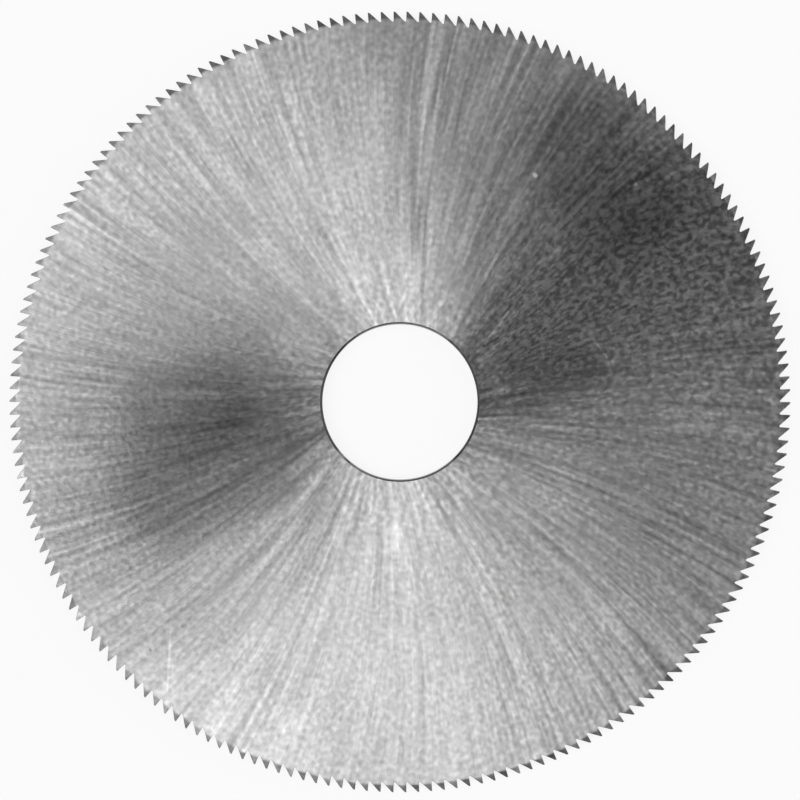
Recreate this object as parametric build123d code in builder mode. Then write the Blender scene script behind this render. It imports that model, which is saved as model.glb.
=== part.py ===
from build123d import *
from math import radians, sin, tan
import os

# A fine-tooth slitting saw: one thin disc of hard steel with a plain bore, small
# teeth all round its edge, and sides ground hollow so that only the toothed rim
# rubs in the slot it cuts. It lies flat, with the axis of the bore along Z, the
# middle of its thickness at Z = 0 and the tip of one tooth on +X. Lengths are in
# millimetres and angles in degrees.

# The blank
outside_diameter = 63.5
thickness = 1.016
bore_diameter = 12.7
bore_chamfer = 0.15

# The sides: a flat rim of the full thickness, this far in below the gullets, then
# a shallow hollow, deepest round the flat seat for the flanges of the arbor
rim_below_gullets = 0.4
side_relief = 0.03
seat_width = 6.35

# The teeth: seen from above, every cutting face looks counter-clockwise. Each
# gullet has the form of the cutter that makes it, which has one sloping side and
# a narrow flat nose.
tooth_count = 190
face_rake = 0
gullet_angle = 45
gullet_flat = 0.12
tooth_land = 0.15
land_relief = 10

outside_radius = outside_diameter / 2
bore_radius = bore_diameter / 2
half_thickness = thickness / 2
tooth_angle = 360 / tooth_count

# One gullet, from the tip of a tooth on +X to the tip of the next: down the
# cutting face, across the flat root, up the back of the next tooth and along its
# land. The face and the back would meet at the root corner, below the flat.
tip = Vector(outside_radius, 0)
next_tip = tip.rotate(Axis.Z, tooth_angle)
back_slope = face_rake + gullet_angle
face_corner_to_flat = gullet_flat / tan(radians(gullet_angle))
back_corner_to_flat = gullet_flat / sin(radians(gullet_angle))

with BuildLine() as gullet:
    face = PolarLine(tip, outside_radius, 180 + face_rake, mode=Mode.PRIVATE)
    land = PolarLine(next_tip, tooth_land, tooth_angle - 90 - land_relief, mode=Mode.PRIVATE)
    down_back = Vector(-1, 0).rotate(Axis.Z, back_slope)
    back = IntersectingLine(land @ 1, down_back, face, mode=Mode.PRIVATE)
    root_corner = back @ 1
    face_foot = root_corner + Vector(face_corner_to_flat, 0).rotate(Axis.Z, face_rake)
    back_foot = root_corner + Vector(back_corner_to_flat, 0).rotate(Axis.Z, back_slope)
    Polyline(tip, face_foot, back_foot, land @ 1, next_tip)

# The hollow on the upper side, as half of its section
rim_radius = face_foot.length - rim_below_gullets
seat_radius = bore_radius + seat_width
half_seat = half_thickness - side_relief

with BuildPart() as saw_blade:
    with BuildSketch(Plane.XY.offset(-half_thickness)):
        with BuildLine():
            with PolarLocations(0, tooth_count):
                add(gullet.line)
        make_face()
    extrude(amount=thickness)

    with BuildSketch(Plane.XZ):
        with BuildLine():
            Polyline(
                (0, half_thickness),
                (rim_radius, half_thickness),
                (seat_radius, half_seat),
                (0, half_seat),
                close=True,
            )
        make_face()
        mirror(about=Plane.XZ)
    revolve(axis=Axis.Z, mode=Mode.SUBTRACT)

    Hole(bore_radius)
    bore_wall = faces(Select.LAST).filter_by(GeomType.CYLINDER)
    chamfer(bore_wall.edges().filter_by(GeomType.CIRCLE), bore_chamfer)

saw_blade.part.label = "saw_blade"

os.makedirs("parts", exist_ok=True)
export_step(saw_blade.part, "parts/saw_blade.step")
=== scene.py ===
from math import atan, atan2, cos, pi, radians, sin, tau

import bmesh
import bpy
from mathutils import Matrix, Vector


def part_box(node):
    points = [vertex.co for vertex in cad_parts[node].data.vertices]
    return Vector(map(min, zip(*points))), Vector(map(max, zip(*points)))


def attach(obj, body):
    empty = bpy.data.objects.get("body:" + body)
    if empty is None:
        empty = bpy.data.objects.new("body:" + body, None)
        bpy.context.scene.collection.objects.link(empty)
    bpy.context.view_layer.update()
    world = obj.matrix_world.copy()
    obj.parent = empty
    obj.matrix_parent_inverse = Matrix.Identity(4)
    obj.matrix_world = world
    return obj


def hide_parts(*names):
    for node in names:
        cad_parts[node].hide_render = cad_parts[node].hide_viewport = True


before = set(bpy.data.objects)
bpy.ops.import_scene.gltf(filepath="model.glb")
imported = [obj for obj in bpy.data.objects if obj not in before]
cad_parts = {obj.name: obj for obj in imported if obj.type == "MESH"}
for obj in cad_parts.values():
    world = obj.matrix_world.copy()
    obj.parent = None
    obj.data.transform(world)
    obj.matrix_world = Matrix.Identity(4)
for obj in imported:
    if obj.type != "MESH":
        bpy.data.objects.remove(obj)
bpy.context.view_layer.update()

MM = 0.001
DEGREES = 180 / pi

# The saw in millimetres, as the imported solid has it
low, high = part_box("saw_blade")
OUTSIDE_RADIUS = high.x / MM
HALF_THICKNESS = high.z / MM
BORE_RADIUS = 6.35
BORE_CHAMFER = 0.15
SEAT_RADIUS = 12.7
SIDE_RELIEF = 0.03
RIM_BELOW_GULLETS = 0.4
TOOTH_COUNT = 190
GULLET_FLAT = 0.12
TOOTH_LAND = 0.15
LAND_RELIEF = radians(10)
TOOTH_ANGLE = tau / TOOTH_COUNT

# What is rounded here alone: the corners at the gullet roots, and the edges
ROOT_ROUNDING = 0.05
EDGE_ROUNDING = 0.035

# The photograph: its frame, where the middle of the saw is in it, and how many
# pixels the radius over the teeth takes up there
PHOTO_SIZE = 800
SAW_CENTRE_PIXEL = (399.96, 401.93)
SAW_RADIUS_PIXELS = 390.6
PIXEL = OUTSIDE_RADIUS / SAW_RADIUS_PIXELS


class Value:
    """One output of a node. Arithmetic on it adds Math nodes to the same tree."""

    def __init__(self, nodes, socket):
        self.nodes, self.socket = nodes, socket

    def __add__(self, other):
        return self.nodes.maths("ADD", self, other)

    def __radd__(self, other):
        return self.nodes.maths("ADD", other, self)

    def __sub__(self, other):
        return self.nodes.maths("SUBTRACT", self, other)

    def __rsub__(self, other):
        return self.nodes.maths("SUBTRACT", other, self)

    def __mul__(self, other):
        return self.nodes.maths("MULTIPLY", self, other)

    def __rmul__(self, other):
        return self.nodes.maths("MULTIPLY", other, self)

    def __truediv__(self, other):
        return self.nodes.maths("DIVIDE", self, other)

    def __rtruediv__(self, other):
        return self.nodes.maths("DIVIDE", other, self)


class Nodes:
    """The nodes of one material or world."""

    def __init__(self, owner):
        owner.use_nodes = True
        self.owner, self.tree = owner, owner.node_tree
        self.tree.nodes.clear()

    def add(self, kind, inputs=None, output=0, **settings):
        """A node of any kind: its settings come first, then its sockets' values or links."""
        node = self.tree.nodes.new(kind)
        for name, setting in settings.items():
            setattr(node, name, setting)
        for name, value in (inputs or {}).items():
            socket = node.inputs[name]
            if isinstance(value, Value):
                self.tree.links.new(value.socket, socket)
            else:
                socket.default_value = value
        return Value(self, node.outputs[output]) if len(node.outputs) else node

    def maths(self, operation, *values):
        return self.add("ShaderNodeMath", dict(enumerate(values)), operation=operation)

    def vectors(self, operation, *values, output=0):
        inputs = dict(enumerate(values))
        return self.add("ShaderNodeVectorMath", inputs, output, operation=operation)

    def part(self, vector, axis):
        return self.add("ShaderNodeSeparateXYZ", {0: vector}, axis)

    def clamp(self, value):
        return self.add("ShaderNodeClamp", {"Value": value})

    def smooth_step(self, value, start, end):
        """0 up to start and 1 from end on, with a soft change between them."""
        return self.add(
            "ShaderNodeMapRange",
            {"Value": value, "From Min": start, "From Max": end},
            interpolation_type="SMOOTHSTEP",
        )

    def noise(self, place, detail):
        """Soft noise from -0.5 to 0.5, with a mean of 0."""
        noise = self.add(
            "ShaderNodeTexNoise",
            {"Vector": place, "Scale": 1.0, "Detail": detail, "Roughness": 0.5},
        )
        return noise - 0.5

    def grey(self, shade):
        return self.add("ShaderNodeCombineColor", {"Red": shade, "Green": shade, "Blue": shade})

    def bump(self, height):
        """The slope of a surface whose height is given in millimetres."""
        return self.add("ShaderNodeBump", {"Strength": 1.0, "Distance": MM, "Height": height})

    def metal(self, shade, roughness, slope, anisotropy=0.0, turn=0.0):
        return self.add(
            "ShaderNodeBsdfPrincipled",
            {
                "Base Color": self.grey(shade),
                "Metallic": 1.0,
                "Roughness": roughness,
                "Anisotropic": anisotropy,
                "Anisotropic Rotation": turn,
                "Normal": slope,
            },
        )

    def mixed(self, share, first, second):
        return self.add("ShaderNodeMixShader", {0: share, 1: first, 2: second})

    def finish(self, surface):
        """Gives the material this surface, and gives the material back."""
        self.add("ShaderNodeOutputMaterial", {"Surface": surface})
        return self.owner

    def seen_by(self, *rays):
        """1 for the rays named, such as Camera or Glossy, and 0 for all others."""
        sockets = self.add("ShaderNodeLightPath").socket.node.outputs
        seen = Value(self, sockets[f"Is {rays[0]} Ray"])
        for ray in rays[1:]:
            seen = self.maths("MAXIMUM", seen, Value(self, sockets[f"Is {ray} Ray"]))
        return seen


def direction(azimuth, tilt):
    """The direction at an azimuth from +X, tilted from straight up, both in degrees."""
    a, t = radians(azimuth), radians(tilt)
    return Vector((sin(t) * cos(a), sin(t) * sin(a), cos(t)))


# The saw

# Vertices nearer than this are the same one
TOUCHING = 0.001

# The slots of the finishes. The sides have the first, 0, as every new face does
GULLETS, BORE = 1, 2


def on_disc(radius, angle, z=0.0):
    return Vector((radius * cos(angle), radius * sin(angle), z))


def tooth_outline():
    """One tooth from above, from the middle of one gullet's flat root to that of the next."""
    tip = on_disc(OUTSIDE_RADIUS, TOOTH_ANGLE)
    land_start = tip + on_disc(TOOTH_LAND, TOOTH_ANGLE - pi / 2 - LAND_RELIEF)
    root_radius = land_start.x - land_start.y + GULLET_FLAT
    middle = Vector((root_radius, GULLET_FLAT / 2, 0))
    back_foot = Vector((root_radius, GULLET_FLAT, 0))
    face_foot = on_disc(root_radius, TOOTH_ANGLE)
    next_middle = Matrix.Rotation(TOOTH_ANGLE, 3, "Z") @ middle
    return [middle, back_foot, land_start, tip, face_foot, next_middle]


def merge(disc):
    bmesh.ops.remove_doubles(disc, verts=disc.verts, dist=TOUCHING)


def rounded(disc, parts, radius, affect="EDGES"):
    """Rounds edges, or corners of a flat face, and gives back the faces that do it."""
    return bmesh.ops.bevel(
        disc,
        geom=parts,
        offset=radius,
        offset_type="OFFSET",
        segments=2,
        profile=0.5,
        affect=affect,
        material=-1,
    )["faces"]


def add_toothed_rim(disc, outline, rim_radius, start):
    """One tooth, copied all round, then raised to its full thickness."""
    tooth = [on_disc(rim_radius, start), *outline, on_disc(rim_radius, start + TOOTH_ANGLE)]
    corners = [disc.verts.new((x, y, -HALF_THICKNESS)) for x, y, z in tooth]
    disc.faces.new(corners)
    rounded(disc, [corners[2], corners[5]], ROOT_ROUNDING, "VERTICES")
    copies = TOOTH_COUNT - 1
    bmesh.ops.spin(
        disc,
        geom=disc.faces[:],
        cent=(0, 0, 0),
        axis=(0, 0, 1),
        angle=TOOTH_ANGLE * copies,
        steps=copies,
        use_duplicate=True,
    )
    merge(disc)
    raised = bmesh.ops.extrude_face_region(disc, geom=disc.faces[:])["geom"]
    bmesh.ops.translate(
        disc,
        vec=(0, 0, 2 * HALF_THICKNESS),
        verts=[v for v in raised if isinstance(v, bmesh.types.BMVert)],
    )
    # The plate closes the rim on the inside, so the wall there goes
    inner_wall = [
        f for f in disc.faces if all(v.co.xy.length < rim_radius + TOUCHING for v in f.verts)
    ]
    bmesh.ops.delete(disc, geom=inner_wall, context="FACES")


def add_plate(disc, rim_radius, start):
    """The plate from the rim to the bore: its section, spun round."""
    half_seat = HALF_THICKNESS - SIDE_RELIEF
    section = [
        (rim_radius, HALF_THICKNESS),
        (SEAT_RADIUS, half_seat),
        (BORE_RADIUS + BORE_CHAMFER, half_seat),
        (BORE_RADIUS, half_seat - BORE_CHAMFER),
        (BORE_RADIUS, BORE_CHAMFER - half_seat),
        (BORE_RADIUS + BORE_CHAMFER, -half_seat),
        (SEAT_RADIUS, -half_seat),
        (rim_radius, -HALF_THICKNESS),
    ]
    corners = [disc.verts.new(on_disc(r, start, z)) for r, z in section]
    chain = [disc.edges.new(pair) for pair in zip(corners, corners[1:])]
    bmesh.ops.spin(
        disc,
        geom=corners + chain,
        cent=(0, 0, 0),
        axis=(0, 0, 1),
        angle=tau,
        steps=TOOTH_COUNT,
        use_merge=True,
    )
    merge(disc)


def is_sharp(edge):
    """Whether a wall meets a side or a chamfer there."""
    wall, side = sorted(abs(f.normal.z) for f in edge.link_faces)
    return wall < 0.5 and side > 0.6


def toothed_disc():
    """The whole saw as one closed shell, in millimetres."""
    disc = bmesh.new()
    outline = tooth_outline()
    root_radius = outline[4].length
    rim_radius = root_radius - RIM_BELOW_GULLETS
    start = atan2(outline[0].y, outline[0].x)
    add_toothed_rim(disc, outline, rim_radius, start)
    add_plate(disc, rim_radius, start)
    bmesh.ops.recalc_face_normals(disc, faces=disc.faces)
    bends = set(rounded(disc, [e for e in disc.edges if is_sharp(e)], EDGE_ROUNDING))
    for face in disc.faces:
        distance = face.calc_center_median().xy.length
        if distance < BORE_RADIUS + BORE_CHAMFER:
            face.material_index = BORE
        elif distance > SEAT_RADIUS and abs(face.normal.z) < 0.5:
            face.material_index = GULLETS
        face.smooth = face in bends or face.material_index == BORE
    return disc


# The steel

# The grinding lines are arcs of this radius, and would pass this far beside the axis.
# Other lines cross them near the bore
ARC_RADIUS, ARC_MISS, CROSSING_MISS = 100, 1.8, -3.0

# How far they lean from straight out, in degrees, and how far single lines differ from that
LEAN_AT_BORE, LEAN_AT_TEETH, LEAN_SPREAD = 12, -6, 16

# Where the lines near the bore end, and where those near the teeth begin
NEAR_BORE, NEAR_TEETH = (9, 15), (16, 25)

# The azimuth at which the wheel cut deepest, and how much deeper it cut there, at the
# other side and near the bore
DEEP_SIDE, DEEPER, DEEPER_OPPOSITE, DEEPER_AT_BORE = 331, 1.6, 0.5, 0.5

# The shade of the steel, the lightest it gets, and how much each kind of line and the
# grain change it
BASE, BRIGHTEST = 0.57, 0.95
STREAK_SHADE, DASH_SHADE, RAY_SHADE, FINE_SHADE, GRAIN_SHADE = 0.62, 0.55, 0.4, 0.1, 0.35
GRAIN_FINENESS = 2.4

# The gloss of the ground sides, and the height of the lines in millimetres
ROUGHNESS, ANISOTROPY = 0.403, 0.96
BUMP = 0.008

# Pits, in which no lines are left: how strongly they show, how softly they end, how many
# there are to a millimetre, and how dull they are
PITS, PIT_SPREAD, PIT_FINENESS, PIT_ROUGHNESS = 0.32, 0.18, 2.2, 0.65

# The sides of the teeth: where they begin, how dull they are, and how far they slope
TOOTH_SIDE, TOOTH_SIDE_BLUR = 31.15, 0.15
TOOTH_SHADE, TOOTH_ROUGHNESS, TOOTH_COVER = 0.14, 0.45, 0.65
FLANK_SLOPE = 0.1

# Of a tooth's angle, how far the middle of its gullet is past the start
GULLET_PHASE = 0.06

# The walls of the gullets and of the bore, and how much darker the painted shade on two sides of
# the bore makes it
WALL_SHADE, PAINTED_SHADE_DEPTH, WALL_BUMP = 0.42, 0.34, 0.006

# Scratches and specks, and wide soft patches of painted light and painted shade: both ends in
# pixels of the photograph, half the width in pixels, and the strength
LIGHT_MARKS_AND_PAINTED_LIGHT = [
    ((170.5, 632), (167.3, 690), 1.8, 0.25),
    ((535, 175), (535.5, 175.5), 3.2, 0.8),
    ((635.5, 184.5), (636, 184), 2.5, 0.5),
    ((479, 352), (508, 312), 2.2, 0.25),
    ((595, 341.5), (607, 357.5), 1.8, 0.25),
    ((607, 357.5), (611.5, 374), 1.8, 0.15),
    # From here on, wide soft patches of painted light
    ((322, 370), (290, 345), 32, 0.25),
    ((330, 452), (312, 468), 30, 0.15),
    ((493, 372), (488, 366), 22, 0.15),
    ((395, 320), (375, 200), 75, 0.07),
    ((475, 450), (550, 487), 55, 0.2),
    ((690, 415), (760, 400), 60, 0.1),
    ((455, 315), (475, 270), 45, 0.1),
    ((600, 640), (640, 680), 60, 0.12),
    ((250, 540), (215, 570), 40, 0.07),
    ((165, 680), (275, 745), 55, 0.15),
]
DARK_MARKS_AND_PAINTED_SHADE = [
    ((475, 358.5), (484, 346), 2.0, 0.4),
    ((484, 346), (498, 338), 2.0, 0.4),
    ((150, 650), (150.5, 650.5), 2.2, 0.35),
    # From here on, wide soft patches of painted shade
    ((260, 448), (165, 492), 80, 0.35),
    ((215, 400), (160, 410), 60, 0.28),
    ((480, 388), (580, 372), 40, 0.28),
    ((585, 150), (618, 190), 95, 0.42),
    ((540, 330), (690, 245), 90, 0.12),
    ((200, 190), (175, 225), 100, 0.09),
]


def on_plate(pixel):
    """Where a pixel of the photograph is on the saw, in millimetres."""
    x, y = pixel
    return Vector(((x - SAW_CENTRE_PIXEL[0]) * PIXEL, (SAW_CENTRE_PIXEL[1] - y) * PIXEL, 0))


def on_saw(n):
    """The place on the saw in millimetres: whole, and flat, without its height."""
    place = n.add("ShaderNodeTexCoord", output="Object")
    place = n.vectors("MULTIPLY", place, (1 / MM, 1 / MM, 1 / MM))
    return place, n.vectors("MULTIPLY", place, (1, 1, 0))


def speckle(n, place, fineness, detail=0.0):
    """Spots from -0.5 to 0.5: so many of them to a millimetre."""
    return n.noise(n.vectors("MULTIPLY", place, (fineness,) * 3), detail)


def mark(n, flat, start, end, width):
    """1 on a straight line between two pixels of the photograph, and 0 beside it."""
    start, end = on_plate(start), on_plate(end)
    line = end - start
    out = n.vectors("SUBTRACT", flat, start)
    share = n.clamp(n.vectors("DOT_PRODUCT", out, line / line.length_squared, output="Value"))
    nearest = n.add("ShaderNodeVectorMath", {0: line, "Scale": share}, operation="SCALE")
    beside = n.vectors("DISTANCE", out, nearest, output="Value")
    return 1 - n.smooth_step(beside, 0.3 * width * PIXEL, width * PIXEL)


def ground_steel():
    """Hard steel, surface ground in fine arcs that run from the bore to the teeth."""
    n = Nodes(bpy.data.materials.new("ground_steel"))
    place, flat = on_saw(n)
    radius = n.vectors("LENGTH", flat, output="Value")
    upper = n.maths("GREATER_THAN", n.part(place, "Z"), 0)

    # The grinding lines are arcs: turned by this angle at each radius they run straight out
    def straightened(twist):
        turned = n.add(
            "ShaderNodeVectorRotate",
            {"Vector": flat, "Angle": twist},
            rotation_type="Z_AXIS",
        )
        return n.vectors("NORMALIZE", turned)

    miss, bend = ARC_MISS / radius, radius / (2 * ARC_RADIUS)
    arcs = straightened(miss + bend)
    crossing_arcs = straightened(CROSSING_MISS / radius)

    def lines(count, length, seed, where=arcs, detail=0.5):
        """Ground lines from -0.5 to 0.5: so many of them to a radian, each about this long."""
        along = n.add("ShaderNodeCombineXYZ", {"Z": radius / length + (seed + 50 * upper)})
        return n.noise(n.vectors("MULTIPLY_ADD", where, (count, count, 0), along), detail)

    inner = 1 - n.smooth_step(radius, *NEAR_BORE)
    outer = n.smooth_step(radius, *NEAR_TEETH)
    zones = (inner, 1 - inner - outer, outer)

    def even_lines(counts, length, seed):
        """Lines of about the same width at every radius."""
        seeds = (seed, seed + 37, seed + 74)
        return sum(lines(count, length, s) * zone for count, s, zone in zip(counts, seeds, zones))

    # The wheel cut deeper near the bore and to one side of it, and a little to the other.
    # The side is the cosine of the angle from where it cut deepest
    side = n.vectors("DOT_PRODUCT", flat, direction(DEEP_SIDE, 90), output="Value") / radius
    depth = 1 + DEEPER_AT_BORE * inner
    depth = depth + DEEPER * n.smooth_step(side, 0.55, 0.9)
    depth = depth + DEEPER_OPPOSITE * n.smooth_step(-1 * side, 0.1, 0.7)

    bundles = 1 + 2.2 * lines(count=6, length=25.0, seed=21.3)
    streaks = depth * bundles * even_lines(counts=(19, 42, 72), length=9.0, seed=0)
    dashes = (1 + depth) / 2 * even_lines(counts=(22, 46, 78), length=0.45, seed=3.3)
    rays = lines(count=12, length=14.0, seed=7.7, detail=2.0)
    fine = lines(count=260, length=4.0, seed=11.1)
    crossed = lines(count=24, length=2.5, seed=15.9, where=crossing_arcs) * inner
    grain = speckle(n, place, GRAIN_FINENESS)

    # The scratches and specks, with the wide patches of painted light and painted shade, on the
    # upper side only
    light_marks_and_painted_light, dark_marks_and_painted_shade = (
        upper * sum(strength * mark(n, flat, *ends, width) for *ends, width, strength in marks)
        for marks in (LIGHT_MARKS_AND_PAINTED_LIGHT, DARK_MARKS_AND_PAINTED_SHADE)
    )
    lightness = (
        STREAK_SHADE * (streaks + 0.8 * crossed)
        + DASH_SHADE * dashes
        + RAY_SHADE * rays
        + FINE_SHADE * fine
        + GRAIN_SHADE * grain
    )
    shade = BASE * n.maths("EXPONENT", lightness) * (1 + light_marks_and_painted_light - dark_marks_and_painted_shade)
    shade = n.maths("MINIMUM", shade, BRIGHTEST)

    # The sides of the teeth are duller from tooth to tooth, and brushed down towards the tips
    azimuth = n.maths("ARCTAN2", n.part(flat, "Y"), n.part(flat, "X"))
    tooth = n.maths("FLOOR", azimuth / TOOTH_ANGLE - GULLET_PHASE)

    def chance(seed):
        """A number from 0 to 1 for each tooth."""
        return n.add("ShaderNodeTexWhiteNoise", {"W": tooth + seed}, noise_dimensions="1D")

    ragged_radius = radius + 0.4 * speckle(n, place, 1.1)
    on_tooth = n.smooth_step(
        ragged_radius, TOOTH_SIDE - TOOTH_SIDE_BLUR, TOOTH_SIDE + TOOTH_SIDE_BLUR
    )
    steepness = FLANK_SLOPE * (0.4 + 1.2 * chance(seed=0.5))
    sunk = steepness * n.maths("MAXIMUM", radius - TOOTH_SIDE, 0)
    tooth_shade = TOOTH_SHADE * (0.3 + 1.4 * chance(seed=300.5)) * (1 + 1.5 * grain)

    slope = n.bump(BUMP * (streaks + fine + grain) - sunk)
    roughness = ROUGHNESS * (1 + 0.2 * rays)

    def ground(lean):
        """The finish where the lines lean this many degrees from straight out."""
        return n.metal(shade, roughness, slope, ANISOTROPY, lean / 360)

    lean = (miss - bend) * DEGREES + LEAN_SPREAD * (0.3 * rays + streaks)
    leant_back = n.clamp((LEAN_AT_BORE - lean) / (LEAN_AT_BORE - LEAN_AT_TEETH))
    steel = n.mixed(leant_back, ground(LEAN_AT_BORE), ground(LEAN_AT_TEETH))
    pitted = 0.55 * speckle(n, place, PIT_FINENESS, detail=1.0)
    pitted = pitted + 0.9 * lines(count=60, length=0.6, seed=61.7, detail=1.0)
    pits = PITS * n.smooth_step(pitted, -PIT_SPREAD, PIT_SPREAD)
    # The light scratches and specks and the patches of painted light also bring in more of the
    # pitted finish
    pits = n.clamp(pits + 0.3 * light_marks_and_painted_light)
    steel = n.mixed(pits, steel, n.metal(shade, PIT_ROUGHNESS, slope))
    steel = n.mixed(TOOTH_COVER * on_tooth, steel, n.metal(tooth_shade, TOOTH_ROUGHNESS, slope))
    return n.finish(steel)


def milled_steel():
    """The walls of the gullets, with the cutter's fine lines across the thickness."""
    n = Nodes(bpy.data.materials.new("milled_steel"))
    place, _ = on_saw(n)
    lines = n.noise(n.vectors("MULTIPLY", place, (14, 14, 1.2)), 3.0)
    patches = speckle(n, place, 1.1, detail=2.0)
    shade = WALL_SHADE * (1 + 0.8 * lines + 0.7 * patches)
    return n.finish(n.metal(shade, 0.36 + 0.3 * patches, n.bump(WALL_BUMP * lines)))


def bored_steel():
    """The bore and its chamfer: turned, with painted shade on the two sides that face along X."""
    n = Nodes(bpy.data.materials.new("bored_steel"))
    place, flat = on_saw(n)
    radius = n.vectors("LENGTH", flat, output="Value")
    along = n.add("ShaderNodeCombineXYZ", {"Z": 9 * (n.part(place, "Z") + radius)})
    rings = n.noise(n.vectors("MULTIPLY_ADD", flat, (0.5, 0.5, 0), along), 3.0)
    patches = speckle(n, place, 0.8, detail=2.0)
    # Painted shade on the two sides of the bore that face along X, broken up by patches; it also
    # makes them a little rougher
    to_the_side = n.maths("ABSOLUTE", n.part(flat, "X")) / radius
    painted_shade_on_sides = n.smooth_step(to_the_side + 0.8 * patches, 0.35, 0.8)
    shade = (WALL_SHADE - PAINTED_SHADE_DEPTH * painted_shade_on_sides) * (1 + 0.8 * rings)
    return n.finish(n.metal(shade, 0.4 + 0.15 * painted_shade_on_sides, n.bump(WALL_BUMP * rings)))


disc = toothed_disc()
disc.transform(Matrix.Scale(MM, 4))
saw = bpy.data.objects.new("toothed_disc", bpy.data.meshes.new("toothed_disc"))
disc.to_mesh(saw.data)
disc.free()
bpy.context.scene.collection.objects.link(saw)
for finish in (ground_steel(), milled_steel(), bored_steel()):
    saw.data.materials.append(finish)
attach(saw, "root")
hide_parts("saw_blade")


# The studio

# Each lamp: its azimuth, half its width, how softly it ends at the sides, the lowest and
# highest tilt from straight up and how softly it ends there, all in degrees, and its strength
LAMPS = [
    (193, 14, 45, 17, 62, 7, 3.18),
    (7, 13, 39, 45, 82, 11, 2.24),
    (47, 10, 15, 9, 62, 24, 0.42),
    (279, 18, 46, -5, 25, 13, 1.27),
]

# How much of the floor's white is its own, where the camera or a reflection sees it, and
# how wide the floor is, in metres
PAPER_GLOW = 0.88
FLOOR_SIZE = 2

# How high the camera stands over the saw, in radii of the saw
CAMERA_HEIGHT = 3.0


def white_paper():
    """White to the camera and in reflections, apart from a faint shadow."""
    n = Nodes(bpy.data.materials.new("white_paper"))
    paper = n.add("ShaderNodeBsdfDiffuse", {"Color": (0.95, 0.95, 0.95, 1)})
    glow = n.add("ShaderNodeEmission", {"Color": (1, 1, 1, 1), "Strength": 1.0})
    seen = n.seen_by("Camera", "Glossy", "Transmission")
    return n.finish(n.mixed(PAPER_GLOW * seen, paper, glow))


def studio_light():
    """Soft lamps as smooth windows of light all round the saw. The camera sees white."""
    world = bpy.data.worlds.new("studio")
    bpy.context.scene.world = world
    n = Nodes(world)
    towards = n.add("ShaderNodeTexCoord", output="Generated")
    tilt = n.maths("ARCCOSINE", n.part(towards, "Z")) * DEGREES
    flat = n.vectors("NORMALIZE", n.vectors("MULTIPLY", towards, (1, 1, 0)))
    light = 0.0
    for azimuth, half, soft, lowest, highest, edge, strength in LAMPS:
        ahead = n.vectors("DOT_PRODUCT", flat, direction(azimuth, 90), output="Value")
        aside = n.maths("ARCCOSINE", ahead) * DEGREES
        lamp = strength * (1 - n.smooth_step(aside, half, half + soft))
        lamp = lamp * n.smooth_step(tilt, lowest - edge / 2, lowest + edge / 2)
        lamp = lamp * (1 - n.smooth_step(tilt, highest - edge / 2, highest + edge / 2))
        light = lamp + light
    seen = n.seen_by("Camera", "Transmission")
    strength = light * (1 - seen) + seen
    background = n.add("ShaderNodeBackground", {"Color": (1, 1, 1, 1), "Strength": strength})
    n.add("ShaderNodeOutputWorld", {"Surface": background})


studio_light()

bpy.ops.mesh.primitive_plane_add(size=FLOOR_SIZE, location=(0, 0, low.z))
floor = bpy.context.object
floor.name = "floor"
floor.data.materials.append(white_paper())

# Straight over the middle of the photograph, and near enough to need a short clip
camera = bpy.data.objects.new("camera", bpy.data.cameras.new("camera"))
bpy.context.scene.collection.objects.link(camera)
middle = on_plate((PHOTO_SIZE / 2, PHOTO_SIZE / 2))
height = CAMERA_HEIGHT * OUTSIDE_RADIUS
camera.location = (middle.x * MM, middle.y * MM, (HALF_THICKNESS + height) * MM)
camera.data.angle = 2 * atan(PHOTO_SIZE / 2 * PIXEL / height)
camera.data.clip_start = 5 * MM
bpy.context.scene.camera = camera
bpy.context.scene.view_settings.view_transform = "Standard"
